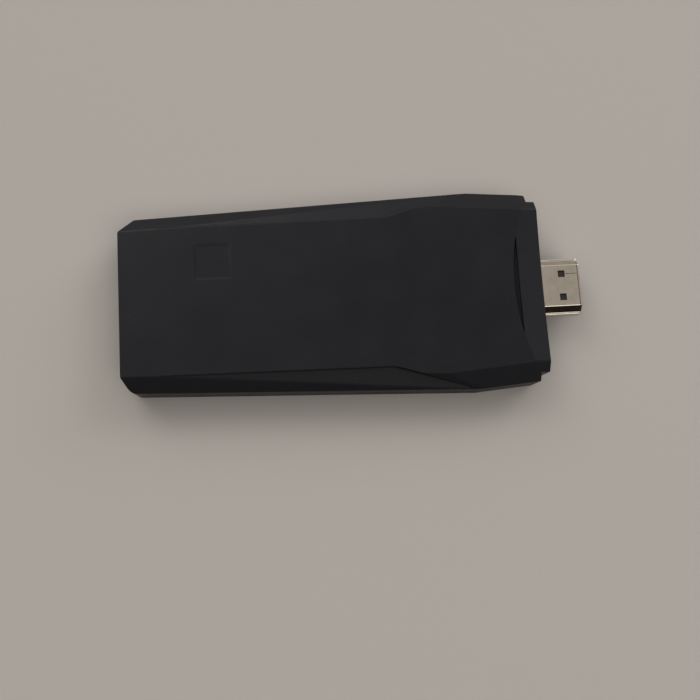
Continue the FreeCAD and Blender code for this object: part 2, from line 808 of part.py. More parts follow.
def make_power_port():
    """Power port under the board, its mouth in the far side wall."""
    body = make_body("power_port_shell")
    pad(body, "XZ_Plane", "-power_mouth", [power_profile("0"), power_profile("power_sheet")],
        "power_depth")
    back = "power_mouth - power_depth"
    blank = make_body("power block")
    pad(blank, "XZ_Plane", "-(%s + power_block)" % back, [power_profile("power_sheet")], "power_block")
    tongue_low = "board_low - power_thick / 2 - power_tongue_thick / 2"
    tongue = box("tongue", ("power_x - power_tongue_width / 2", "power_x + power_tongue_width / 2"),
                 (back + " + power_block / 2", back + " + power_block + power_tongue_length"),
                 (tongue_low, tongue_low + " + power_tongue_thick"))
    strips = []
    for place in range(5):
        middle = "power_x + power_pitch * %s" % (place - 2)
        strips.append(box(
            "contact", ("%s - power_contact / 2" % middle, "%s + power_contact / 2" % middle),
            (back, back + " + power_block + power_tongue_length - power_contact"),
            (tongue_low + " - contact_sheet", tongue_low)))
    contacts = group("power_port_contacts", strips)
    plastic = less("power_port_tongue", group("power plastic", [blank, tongue]), [contacts])
    return [body, plastic, contacts]


def make_card():
    """Memory card: notched outline with a finger ridge along its outer edge."""
    body = make_body("memory_card")
    left = "card_x - card_width / 2"
    right = "card_x + card_width / 2"
    inner = "card_wall - card_length"
    pad(body, "XY_Plane", "card_low", [[
        (left, inner),
        (right + " - card_notch", inner),
        (right + " - card_notch", inner + " + card_notch_run"),
        (right, inner + " + card_notch_run + card_notch"),
        (right, "card_wall"),
        (left, "card_wall"),
    ]], "card_thick")
    ridge = rectangle(left, right, "card_wall - card_ridge_run", "card_wall")
    pad(body, "XY_Plane", "card_low - card_ridge", [ridge], "card_ridge + card_thick / 2")
    return body


def make_socket():
    """Card socket under the board: sheet cover, base with a stop for the ejector, contacts."""
    low = "socket_low"
    top = "board_low"
    along = ("socket_rear", "socket_mouth")
    plate = box("cover plate", ("socket_left", "socket_right"), along, (low, low + " + socket_sheet"))
    left = box("cover side", ("socket_left", "socket_left + socket_sheet"), along, (low, top))
    right = box("cover side", ("socket_right - socket_sheet", "socket_right"), along, (low, top))
    cover = group("card_socket_cover", [plate, left, right])
    inside = ("socket_left + socket_sheet", "socket_right - socket_sheet")
    inner_low = low + " + socket_sheet"
    base_low = "board_low - socket_base"
    stop = "slider_front + card_out + card_gap"
    base = group("card_socket_base", [
        box("base plate", inside, along, (base_low, top)),
        box("back wall", inside, ("socket_rear", "socket_rear + socket_back"), (inner_low, top)),
        box("rail", (inside[0], "socket_left + socket_side"), along, (inner_low, top)),
        box("rail", ("socket_right - socket_side", inside[1]), along, (inner_low, top)),
        box("ejector stop", (inside[0], "card_x - card_width / 2 - 2 * card_gap - slider_bar"),
            (stop, stop + " + slider_thick"), (inner_low, top)),
    ])
    strips = []
    for place in range(8):
        middle = "card_x + card_pad_pitch * %s" % (place - 3.5)
        strips.append(box(
            "contact", ("%s - card_pad / 2" % middle, "%s + card_pad / 2" % middle),
            ("socket_rear + socket_back", "socket_rear + socket_back + card_pad_run"),
            (base_low + " - contact_sheet / 2", base_low)))
    return [cover, base, group("card_socket_contacts", strips)]


def make_slider():
    """Ejector: a bar beside the card, an arm behind its corner and a tab for the spring."""
    edge = "card_x - card_width / 2"
    bar = (edge + " - card_gap - slider_bar", edge + " - card_gap")
    height = ("card_low", "card_high")
    tab_left = bar[0] + " - card_gap - 2 * spring_radius"
    return group("card_ejector", [
        box("bar", bar, ("slider_rear", "slider_front"), height),
        box("arm", (bar[0], edge + " + slider_arm"), ("slider_rear", "slider_rear + slider_thick"),
            height),
        box("tab", (tab_left, bar[1]), ("slider_front - slider_thick", "slider_front"), height),
    ])


def make_spring():
    """Coil spring between the socket's back wall and the ejector's tab."""
    start = value("socket_rear + socket_back")
    wire = value("spring_wire")
    length = value("slider_front - slider_thick") - start - wire
    radius = value("spring_radius") - wire / 2
    turns = round(value("spring_turns"))
    helix = Part.makeHelix(length / turns, length, radius)
    section = Part.Wire(Part.makeCircle(wire / 2, FreeCAD.Vector(radius, 0, 0), FreeCAD.Vector(0, 1, 0)))
    coil = Part.Wire(helix.Edges).makePipeShell([section], True, True)
    spring = feature("ejector_spring", coil)
    centre = value("card_x - card_width / 2 - 2 * card_gap - slider_bar - spring_radius")
    height = value("(socket_low + socket_sheet + board_low - socket_base) / 2")
    turn = FreeCAD.Rotation(FreeCAD.Vector(1, 0, 0), -90)
    spring.Placement = FreeCAD.Placement(FreeCAD.Vector(centre, start + wire / 2, height), turn)
    return spring


def chips(label, centres, size):
    """Several like chips on the top of the board."""
    return group(label, [block("chip", centre, size, "board_top") for centre in centres])


def make_chips():
    """Everything soldered to the top of the board, and the heat spreader over it."""
    middle = ("processor_x", "0")
    processor = block("processor", middle, ("processor_side", "processor_side", "processor_rise"),
                      "board_top")
    paste = block("thermal_pad", middle, ("processor_side", "processor_side", "pad_thick"),
                  "processor_top")
    plate = block("spreader plate", middle, ("spreader_length", "spreader_width", "spreader_thick"),
                  "spreader_low")
    fins = []
    for place in range(7):
        shift = "(spreader_width - spreader_thick) * %s / 6" % (place - 3)
        fins.append(block("fin", ("processor_x", shift),
                          ("spreader_length", "spreader_thick", "spreader_fin"),
                          "spreader_low + spreader_thick"))
    spreader = group("heat_spreader", [plate] + fins)
    ahead = "processor_x + processor_side / 2"
    behind = "processor_x - processor_side / 2"
    memory_x = ahead + " + chip_space + memory_width / 2"
    memory_y = "memory_length / 2 + chip_space"
    memory = chips("memory_chips", [(memory_x, memory_y), (memory_x, "-(%s)" % memory_y)],
                   ("memory_width", "memory_length", "memory_rise"))
    storage = block("storage_chip", (behind + " - chip_space - storage_length / 2", "0"),
                    ("storage_length", "storage_width", "memory_rise"), "board_top")
    crystal = block("crystal", ("processor_x", "processor_side / 2 + 2 * chip_space"),
                    ("crystal_length", "crystal_width", "crystal_rise"), "board_top")
    coil_x = memory_x + " + memory_width / 2 + chip_space + coil_side / 2"
    coil_y = "coil_side / 2 + chip_space"
    coils = chips("power_coils", [(coil_x, coil_y), (coil_x, coil_y + " + coil_side + chip_space")],
                  ("coil_side", "coil_side", "coil_rise"))
    regulator_x = coil_x + " + coil_side / 2 + chip_space + regulator_side / 2"
    regulators = chips("regulators", [(regulator_x, coil_y), (regulator_x, "-(%s)" % memory_y)],
                       ("regulator_side", "regulator_side", "regulator_rise"))
    tank_x = behind + " - 2 * chip_space - storage_length - tank_length / 2"
    tank_y = "storage_width / 3"
    tanks = chips("tank_capacitors",
                  [(tank_x, tank_y), (tank_x, "-" + tank_y), (coil_x, "-(%s)" % memory_y)],
                  ("tank_length", "tank_width", "tank_rise"))
    row_y = "processor_side / 2 + chip_space"
    small = []
    for side in ("", "-"):
        for place in range(8):
            if side == "" and 2 <= place <= 5:
                continue
            x = "processor_x + chip_part_pitch * %s" % (place - 3.5)
            small.append((x, "%s(%s)" % (side, row_y)))
    capacitors = chips("ceramic_capacitors", small,
                       ("chip_part_width", "chip_part_length", "chip_part_rise"))
    row_x = "plug_back - 2 * chip_space"
    resistors = chips("chip_resistors",
                      [(row_x, "chip_part_pitch * %s" % (place - 4.5)) for place in range(10)],
                      ("chip_part_length", "chip_part_width", "resistor_rise"))
    lamp = block("status_lamp", ("port_back + 2 * chip_space", "-storage_width / 2"),
                 ("lamp_length", "lamp_width", "lamp_rise"), "board_top")
    return [processor, paste, spreader, memory, storage, crystal, coils, regulators, tanks, capacitors,
            resistors, lamp]


def check_and_export(pieces):
    """Stop on any failed object or bad shape, then write one file for each piece."""
    doc.recompute()
    for item in doc.Objects:
        if "Invalid" in item.State or "Error" in item.State:
            raise RuntimeError("failed object: %s (%s)" % (item.Label, item.Name))
    for piece in pieces:
        if piece.Shape.isNull() or not piece.Shape.isValid() or not piece.Shape.Solids:
            raise RuntimeError("bad shape: " + piece.Label)
    for piece in pieces:
        piece.Shape.exportStep("parts/%s.step" % piece.Label)
        print(piece.Label, len(piece.Shape.Solids), round(piece.Shape.Volume, 3))


openings = wall_openings()
pieces = [make_top_cover(openings), make_bottom_cover(openings), make_board(), make_screws()]
pieces += make_plug() + make_port() + make_power_port()
pieces += [make_card(), make_slider(), make_spring()] + make_socket()
pieces += make_chips()
check_and_export(pieces)
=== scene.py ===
"""Looks of the stick-shaped game console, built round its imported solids. Lengths in metres."""

import json
import math

import bmesh
import bpy
import numpy as np
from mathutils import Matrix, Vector


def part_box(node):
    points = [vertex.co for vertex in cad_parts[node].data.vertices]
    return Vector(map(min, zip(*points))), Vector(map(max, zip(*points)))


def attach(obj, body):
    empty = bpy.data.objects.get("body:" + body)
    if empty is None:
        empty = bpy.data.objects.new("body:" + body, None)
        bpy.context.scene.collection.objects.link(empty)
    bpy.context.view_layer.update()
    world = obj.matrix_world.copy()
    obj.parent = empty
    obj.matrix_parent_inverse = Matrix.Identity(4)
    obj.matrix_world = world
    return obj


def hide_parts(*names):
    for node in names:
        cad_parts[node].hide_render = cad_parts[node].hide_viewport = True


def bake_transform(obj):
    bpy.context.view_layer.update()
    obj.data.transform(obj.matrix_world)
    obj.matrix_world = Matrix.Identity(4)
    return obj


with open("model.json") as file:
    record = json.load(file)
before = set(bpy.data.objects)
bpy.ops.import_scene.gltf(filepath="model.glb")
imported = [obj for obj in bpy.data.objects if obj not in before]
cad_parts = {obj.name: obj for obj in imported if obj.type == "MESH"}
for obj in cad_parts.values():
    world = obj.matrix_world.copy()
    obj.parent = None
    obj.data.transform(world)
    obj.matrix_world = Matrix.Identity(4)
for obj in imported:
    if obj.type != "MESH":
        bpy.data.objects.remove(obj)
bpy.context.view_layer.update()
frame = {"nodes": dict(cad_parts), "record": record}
NODES = frame["nodes"]
MM = 0.001

# Camera, found by fitting the plug and the case outline to the photograph.
PHOTO_SIDE = 700
FOCAL_PIXELS = 850
SENSOR_WIDTH = 36.0
CAMERA_PLACE = (-14.38 * MM, -43.66 * MM, 205.63 * MM)
CAMERA_TURN = (9.017, -3.063, -3.509)

# Surroundings: the table top lies just under the stick and fades out between two distances.
BACKDROP = (0.47, 0.43, 0.40)
TABLE_COLOUR = (0.46, 0.425, 0.395)
TABLE_REACH = 12.0
TABLE_LEVEL = -0.05 * MM
SQUARE = ((-1, -1), (1, -1), (1, 1), (-1, 1))
FADE_START, FADE_END = 0.3, 1.4
WARM, SOFT_WARM = (1.0, 0.97, 0.93), (1.0, 0.98, 0.95)
NEUTRAL, COOL = (1.0, 0.99, 0.98), (0.97, 0.98, 1.0)

# An edge is rounded where it turns by more than EDGE_TURN; regions flatter than FLAT_TURN are one face.
EDGE_TURN = math.radians(4)
FLAT_TURN = math.radians(0.6)
RIM_TURN = math.radians(50)


def make_camera():
    """Place the camera where the photograph was taken from."""
    data = bpy.data.cameras.new("camera")
    data.sensor_width = SENSOR_WIDTH
    data.lens = SENSOR_WIDTH * FOCAL_PIXELS / PHOTO_SIDE
    data.clip_start = MM
    data.clip_end = 10
    camera = bpy.data.objects.new("camera", data)
    camera.location = CAMERA_PLACE
    camera.rotation_euler = [math.radians(angle) for angle in CAMERA_TURN]
    bpy.context.scene.collection.objects.link(camera)
    bpy.context.scene.camera = camera


def make_light(name, place, target, size, power, colour, mirrored=True, matt=True):
    """Add a soft square lamp that points at a target.

    mirrored says whether reflections show it, and matt whether it lights matt surfaces.
    """
    data = bpy.data.lights.new(name, "AREA")
    data.shape = "SQUARE"
    data.size = size
    data.energy = power
    data.color = colour
    lamp = bpy.data.objects.new(name, data)
    lamp.visible_glossy = mirrored
    lamp.visible_diffuse = matt
    lamp.location = place
    lamp.rotation_euler = (Vector(target) - Vector(place)).to_track_quat("-Z", "Y").to_euler()
    bpy.context.scene.collection.objects.link(lamp)


class Finish:
    """Node builder for one procedural material."""

    def __init__(self, name):
        self.material = bpy.data.materials.new(name)
        self.material.use_nodes = True
        self.tree = self.material.node_tree
        self.shader = self.tree.nodes["Principled BSDF"]
        self.place = self.add("ShaderNodeTexCoord").outputs["Object"]

    def add(self, kind, **settings):
        """Add a node and set its plain settings and its input defaults."""
        node = self.tree.nodes.new(kind)
        for key, value in settings.items():
            if hasattr(node, key):
                setattr(node, key, value)
            else:
                node.inputs[key].default_value = value
        return node

    def link(self, source, node, socket):
        """Join an output to a node's input."""
        self.tree.links.new(source, node.inputs[socket])

    def noise(self, size, detail=2.0, roughness=0.5, squeeze=None):
        """Noise whose features are about size metres across, drawn out along the axes squeezed."""
        node = self.add("ShaderNodeTexNoise", Scale=1.0 / size, Detail=detail, Roughness=roughness)
        place = self.place
        if squeeze:
            mapping = self.add("ShaderNodeMapping", Scale=squeeze)
            self.link(place, mapping, "Vector")
            place = mapping.outputs[0]
        self.link(place, node, "Vector")
        return node.outputs["Fac"]

    def mix_shaders(self, factor, first, second):
        """Mix two shaders by a value."""
        node = self.add("ShaderNodeMixShader")
        self.link(factor, node, 0)
        self.link(first, node, 1)
        self.link(second, node, 2)
        return node.outputs[0]

    def spread(self, source, low, high, out_low, out_high):
        """Map a value from one range to another."""
        node = self.add("ShaderNodeMapRange")
        self.link(source, node, "Value")
        limits = {"From Min": low, "From Max": high, "To Min": out_low, "To Max": out_high}
        for key, value in limits.items():
            node.inputs[key].default_value = value
        return node.outputs["Result"]

    def blend(self, factor, first, second):
        """Mix two colours by a value."""
        node = self.add("ShaderNodeMix", data_type="RGBA")
        self.link(factor, node, "Factor")
        for socket, colour in (("A", first), ("B", second)):
            target = [item for item in node.inputs if item.name == socket and item.type == "RGBA"][0]
            if isinstance(colour, tuple):
                target.default_value = (*colour, 1)
            else:
                self.tree.links.new(colour, target)
        return [item for item in node.outputs if item.type == "RGBA"][0]

    def within(self, centre, half):
        """One inside a box about a centre, and nothing outside it; lengths in millimetres.

        Each coordinate's distance from the centre is divided by the box's half size, and the
        largest of the three is compared with one.
        """
        centred = self.add("ShaderNodeVectorMath", operation="SUBTRACT")
        self.link(self.place, centred, 0)
        centred.inputs[1].default_value = [value * MM for value in centre]
        scaled = self.add("ShaderNodeVectorMath", operation="DIVIDE")
        self.link(centred.outputs[0], scaled, 0)
        scaled.inputs[1].default_value = [value * MM for value in half]
        size = self.add("ShaderNodeVectorMath", operation="ABSOLUTE")
        self.link(scaled.outputs[0], size, 0)
        parts = self.add("ShaderNodeSeparateXYZ")
        self.link(size.outputs[0], parts, 0)
        largest = parts.outputs[0]
        for axis in (1, 2):
            pair = self.add("ShaderNodeMath", operation="MAXIMUM")
            self.link(largest, pair, 0)
            self.link(parts.outputs[axis], pair, 1)
            largest = pair.outputs[0]
        return self.spread(largest, 0.97, 1.03, 1.0, 0.0)

    def bump(self, heights):
        """Add bumps to the surface: pairs of a height source and its depth in metres."""
        normal = None
        for source, depth in heights:
            node = self.add("ShaderNodeBump", Strength=1.0, Distance=depth)
            self.link(source, node, "Height")
            if normal is not None:
                self.link(normal, node, "Normal")
            normal = node.outputs["Normal"]
        self.link(normal, self.shader, "Normal")

    def base(self, colour, roughness, metallic=0.0, specular=0.5):
        """Set the shader's plain values."""
        self.shader.inputs["Base Color"].default_value = (*colour, 1)
        self.shader.inputs["Roughness"].default_value = roughness
        self.shader.inputs["Metallic"].default_value = metallic
        self.shader.inputs["Specular IOR Level"].default_value = specular
        return self


# Windows of the plug shell: place along the stick, distance to each side, half side. Millimetres.
WINDOW_ALONG, WINDOW_SIDE, WINDOW_HALF = 50.2, 2.84, 0.825


def case_plastic():
    """Matt black moulded plastic: fine spark texture, faint cloudiness, a few dust specks and painted
    shade in the groove.
    """
    dark, pale = (0.0086, 0.0087, 0.0110), (0.0102, 0.0103, 0.0126)
    # The near-black colour used for the groove is painted shade, not a colour of the plastic.
    dust, groove_shade_colour = (0.10, 0.10, 0.095), (0.003, 0.003, 0.004)
    groove_shade_centre, groove_shade_half = (38.4, 0.0, 11.2), (0.9, 11.5, 0.3)
    finish = Finish("case_plastic").base((0.0094, 0.0095, 0.0118), 0.42, specular=0.13)
    grain = finish.noise(0.16 * MM, 3.0, 0.6)
    cloud = finish.noise(9 * MM, 3.0, 0.55)
    tone = finish.blend(finish.spread(cloud, 0.3, 0.7, 0.0, 1.0), dark, pale)
    specks = finish.spread(finish.noise(0.6 * MM, 1.0), 0.785, 0.81, 0.0, 0.3)
    colour = finish.blend(specks, tone, dust)
    # Painted shade: inside a box round the groove across the nose, the colour turns near black.
    groove_shade = finish.within(groove_shade_centre, groove_shade_half)
    finish.link(finish.blend(groove_shade, colour, groove_shade_colour), finish.shader, "Base Color")
    finish.link(finish.spread(cloud, 0.3, 0.7, 0.39, 0.45), finish.shader, "Roughness")
    finish.bump([(grain, 0.03 * MM)])
    return finish.material


def plain(name, colour, roughness, metallic=0.0, grain=0.4 * MM, depth=0.006 * MM, tone=0.85,
          specular=0.5):
    """Even finish with a little grain and tone, for small parts."""
    finish = Finish(name).base(colour, roughness, metallic, specular)
    cloud = finish.noise(grain * 6)
    darker = tuple(channel * tone for channel in colour)
    shade = finish.blend(finish.spread(cloud, 0.35, 0.65, 0.0, 1.0), darker, colour)
    finish.link(shade, finish.shader, "Base Color")
    uneven = finish.spread(cloud, 0.3, 0.7, roughness * 0.85, min(1.0, roughness * 1.15))
    finish.link(uneven, finish.shader, "Roughness")
    finish.bump([(finish.noise(grain), depth)])
    return finish.material


def board_laminate():
    """Green solder mask over copper: lighter traces along cell borders, and gold dots for vias."""
    deep_green, green = (0.010, 0.075, 0.030), (0.014, 0.095, 0.040)
    trace_green, via_gold = (0.03, 0.17, 0.07), (0.60, 0.42, 0.16)
    finish = Finish("board_laminate").base((0.012, 0.09, 0.035), 0.35)
    colour = finish.blend(finish.spread(finish.noise(4 * MM), 0.35, 0.65, 0.0, 1.0), deep_green, green)
    for size, feature, reach, tone in ((3.2 * MM, "DISTANCE_TO_EDGE", 0.05, trace_green),
                                       (2.6 * MM, "F1", 0.07, via_gold)):
        cells = finish.add("ShaderNodeTexVoronoi", feature=feature, Scale=1 / size)
        finish.link(finish.place, cells, "Vector")
        mark = finish.spread(cells.outputs["Distance"], reach, reach * 1.3, 1.0, 0.0)
        colour = finish.blend(mark, colour, tone)
    finish.link(colour, finish.shader, "Base Color")
    finish.bump([(finish.noise(0.5 * MM), 0.004 * MM)])
    return finish.material


def nickel_plate():
    """Slightly warm nickel plate with faint stains and fine lengthwise scratches.

    Painted shade: dark lines in the fold at the tip and in the slit beside the far window.
    """
    stained, clean, crease_shade_brown = (0.56, 0.52, 0.44), (0.62, 0.58, 0.515), (0.16, 0.14, 0.12)
    finish = Finish("nickel_plate").base((0.60, 0.56, 0.49), 0.17, 1.0)
    stain = finish.noise(1.6 * MM, 3.0, 0.6)
    tone = finish.blend(finish.spread(stain, 0.35, 0.65, 0.0, 1.0), stained, clean)
    # Painted shade: a dark line in the crease of the fold at the tip.
    fold_shade = finish.within((54.19, 0.0, 8.6), (0.07, 5.2, 0.3))
    tone = finish.blend(fold_shade, tone, crease_shade_brown)
    # Painted shade: a dark line along the slit beside the far window.
    slit = finish.within((52.55, WINDOW_SIDE, 8.6), (1.55, 0.06, 0.3))
    tone = finish.blend(slit, tone, crease_shade_brown)
    finish.link(tone, finish.shader, "Base Color")
    finish.link(finish.spread(stain, 0.3, 0.7, 0.09, 0.14), finish.shader, "Roughness")
    scratches = finish.noise(0.25 * MM, 2.0, 0.5, (0.06, 1.0, 1.0))
    finish.bump([(scratches, 0.0012 * MM), (finish.noise(1.1 * MM, 1.0), 0.0025 * MM)])
    return finish.material


SLOTS = {part["node"]: part["material_slot"] for part in frame["record"]["subparts"]}
FINISHES = {
    "black_plastic": case_plastic(),
    "nickel": nickel_plate(),
    "port_steel": plain("port_steel", (0.62, 0.62, 0.61), 0.34, 1.0, 0.3 * MM, 0.002 * MM, 0.9),
    "screw_steel": plain("screw_steel", (0.45, 0.45, 0.46), 0.38, 1.0),
    "bare_aluminium": plain("bare_aluminium", (0.70, 0.71, 0.72), 0.42, 1.0),
    "contact_gold": plain("contact_gold", (0.83, 0.58, 0.22), 0.28, 1.0),
    "insulator": plain("insulator_plastic", (0.017, 0.013, 0.011), 0.6, specular=0.25),
    "board_laminate": board_laminate(),
    "card_plastic": plain("card_plastic", (0.02, 0.02, 0.022), 0.45),
    "chip_resin": plain("chip_resin", (0.02, 0.02, 0.02), 0.55),
    "pad_silicone": plain("pad_silicone", (0.35, 0.40, 0.46), 0.7),
    "ferrite": plain("ferrite", (0.06, 0.06, 0.065), 0.6),
    "tank_resin": plain("tank_resin", (0.55, 0.33, 0.05), 0.45),
    "ceramic": plain("ceramic", (0.36, 0.24, 0.13), 0.5),
    "lamp_resin": plain("lamp_resin", (0.75, 0.74, 0.66), 0.2),
}


def dress_nodes():
    """Give every solid the finish of its slot."""
    for name, slot in SLOTS.items():
        NODES[name].data.materials.clear()
        NODES[name].data.materials.append(FINISHES[slot])


def stand_for(piece, name):
    """Give a piece the body, slot and finish of the CAD node that it stands for."""
    body = next(key for key, names in frame["record"]["behaviour"]["bodies"].items() if name in names)
    piece.data.materials.clear()
    piece.data.materials.append(FINISHES[SLOTS[name]])
    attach(piece, body)
    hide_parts(name)
    return piece


def ease_recess(points):
    """Make the square recess on the top shallow, with sloping sides.

    The four corners of its floor move towards its centre and up; the rest stays. Millimetres.
    """
    centre, half, floor_level = np.array((-32.9, 8.9)), 4.3, 11.8
    slope, lift, close = 0.5, 0.14, 0.05
    away = points[:, :2] - centre
    inside = np.abs(away).max(axis=1) < half + close
    corners = inside & (np.abs(points[:, 2] - floor_level) < close)
    points[corners, :2] -= np.sign(away[corners]) * slope
    points[corners, 2] += lift
    return points


def split_side(edge, start, shares):
    """Split an edge at shares of its way from its start; the new vertices in order."""
    end, past, new = edge.other_vert(start), 0.0, []
    for share in shares:
        vertex = bmesh.utils.edge_split(edge, start, (share - past) / (1 - past))[1]
        edge = next(item for item in vertex.link_edges if item.other_vert(vertex) is end)
        start, past = vertex, share
        new.append(vertex)
    return new


def round_corner(work):
    """Give the chamfer at the near rear corner of a cover a rounder plan, as in the photograph.

    Its upper and its lower edge are split at the same shares of their way, and the new points
    are joined across the chamfer's face. Then they move outwards, each within the plane of the
    facet or flat face that its edge borders: a move (a, b) keeps to a plane with normal
    (u, v, w) where it rises by -(ua + vb) / w.
    """
    rear_end, side_end = Vector((-54.7, -17.1)) * MM, Vector((-51.4, -20.75)) * MM
    shares, reaches, close = (0.5, 0.7, 0.88), (0.68, 0.76, 0.52), 0.15 * MM
    outward = Vector((side_end.y - rear_end.y, rear_end.x - side_end.x)).normalized()
    rows = []
    for edge in list(work.edges):
        for first in edge.verts:
            last = edge.other_vert(first)
            ends_off = (first.co.xy - rear_end).length, (last.co.xy - side_end).length
            if max(ends_off) < close:
                border = max(edge.link_faces, key=lambda face: abs(face.normal.z)).normal.copy()
                rows.append((split_side(edge, first, shares), border))
    for upper, lower in zip(rows[0][0], rows[1][0]):
        bmesh.ops.connect_verts(work, verts=[upper, lower])
    for vertices, border in rows:
        for vertex, reach in zip(vertices, reaches):
            move = outward * reach * MM
            vertex.co += Vector((*move, -border.xy.dot(move) / border.z))


def soft_copy(name, width, merge=0.1, segments=3, reshape=None, recut=None):
    """Copy of a CAD node whose edges are rounded, for moulded and folded parts.

    Its loose triangles are merged, flat regions become single faces, and a bevel of even width
    rounds every edge that turns by more than EDGE_TURN. A recut works on the merged mesh and a
    reshape moves points first. Lengths in millimetres.
    """
    node = NODES[name]
    mesh = bpy.data.meshes.new(name + "_soft")
    work = bmesh.new()
    work.from_mesh(node.data)
    bmesh.ops.remove_doubles(work, verts=work.verts, dist=merge * MM)
    bmesh.ops.dissolve_limit(work, angle_limit=FLAT_TURN, verts=work.verts, edges=work.edges)
    if recut:
        recut(work)
    work.to_mesh(mesh)
    work.free()
    if reshape:
        points = np.empty(len(mesh.vertices) * 3)
        mesh.vertices.foreach_get("co", points)
        points = reshape(points.reshape(-1, 3) / MM) * MM
        mesh.vertices.foreach_set("co", points.ravel())
    mesh.shade_flat()
    piece = bpy.data.objects.new(name + "_soft", mesh)
    bpy.context.scene.collection.objects.link(piece)
    bevel = piece.modifiers.new("edges", "BEVEL")
    bevel.width = width * MM
    bevel.segments = segments
    bevel.limit_method = "ANGLE"
    bevel.angle_limit = EDGE_TURN
    bevel.use_clamp_overlap = False
    return stand_for(piece, name)


def rounded_loop(corners, radii, steps=6):
    """Closed outline with rounded corners.

    Each corner is replaced by an arc that touches both of its sides: its centre lies on the
    corner's bisector, radius / sin(half the corner's angle) away, and the arc turns evenly from
    one side's normal to the other's.
    """
    corners = np.asarray(corners, float)
    radii = np.asarray(radii, float)[:, None]
    back = np.roll(corners, 1, axis=0) - corners
    ahead = np.roll(corners, -1, axis=0) - corners
    back /= np.linalg.norm(back, axis=1, keepdims=True)
    ahead /= np.linalg.norm(ahead, axis=1, keepdims=True)
    half = np.arccos(np.clip((back * ahead).sum(axis=1, keepdims=True), -1, 1)) / 2
    middle = back + ahead
    middle /= np.linalg.norm(middle, axis=1, keepdims=True)
    centres = corners + middle * radii / np.sin(half)
    first = corners + back * radii / np.tan(half) - centres
    last = corners + ahead * radii / np.tan(half) - centres
    start = np.arctan2(first[:, 1], first[:, 0])
    turn = np.arctan2(last[:, 1], last[:, 0]) - start
    turn = (turn + np.pi) % (2 * np.pi) - np.pi
    angles = start[:, None] + turn[:, None] * np.linspace(0, 1, steps)
    arcs = centres[:, None] + radii[:, :, None] * np.stack([np.cos(angles), np.sin(angles)], axis=2)
    return arcs.reshape(-1, 2)


def with_points(loop, spots):
    """Add points to an outline where its last side, a level one, passes the given places."""
    level, margin = loop[-1, 1], 1e-4
    spots = np.asarray(spots, float)
    ends = sorted((loop[-1, 0], loop[0, 0]))
    spots = spots[(spots > ends[0] + margin) & (spots < ends[1] - margin)]
    order = np.argsort(spots)
    if loop[-1, 0] > loop[0, 0]:
        order = order[::-1]
    extra = np.stack([spots[order], np.full(len(order), level)], axis=1)
    return np.concatenate([loop, extra])


def tube(loop, stations, insets, holes=None):
    """Sheet carried along a straight path.

    Point (s, t) is outline(t) less inset(s) times the outline's normal(t), at station s. The
    outline lies across the path, the stations along it. Faces whose middle lies in a hole are
    left out. Lengths in millimetres; the result has no thickness yet.
    """
    after = np.roll(loop, -1, axis=0) - np.roll(loop, 1, axis=0)
    normal = np.stack([after[:, 1], -after[:, 0]], axis=1)
    normal /= np.linalg.norm(normal, axis=1, keepdims=True)
    stations = np.asarray(stations, float)
    rows = loop[None] - np.asarray(insets, float)[:, None, None] * normal[None]
    along = np.broadcast_to(stations[:, None, None], rows.shape[:2] + (1,))
    points = np.concatenate([along, rows], axis=2)
    count = len(loop)
    index = np.arange(len(stations) * count).reshape(len(stations), count)
    faces = np.stack([index[:-1], np.roll(index, -1, axis=1)[:-1],
                      np.roll(index, -1, axis=1)[1:], index[1:]], axis=2).reshape(-1, 4)
    flat = points.reshape(-1, 3)
    if holes is not None:
        faces = faces[~holes(flat[faces].mean(axis=1))]
    return flat, faces


def make_piece(name, points, faces):
    """Turn points in millimetres and faces into a mesh object at the origin."""
    mesh = bpy.data.meshes.new(name)
    corners = [list(map(int, face)) for face in faces]
    mesh.from_pydata((np.asarray(points) * MM).tolist(), [], corners)
    mesh.validate()
    mesh.shade_smooth()
    piece = bpy.data.objects.new(name, mesh)
    bpy.context.scene.collection.objects.link(piece)
    return piece


def give_thickness(piece, thick, rim=0.05):
    """Grow a sheet inwards to its thickness and break the edges of its rims."""
    solid = piece.modifiers.new("sheet", "SOLIDIFY")
    solid.thickness = thick * MM
    solid.offset = -1
    bevel = piece.modifiers.new("rims", "BEVEL")
    bevel.width = rim * MM
    bevel.segments = 2
    bevel.limit_method = "ANGLE"
    bevel.angle_limit = RIM_TURN
    bevel.harden_normals = True
    return piece


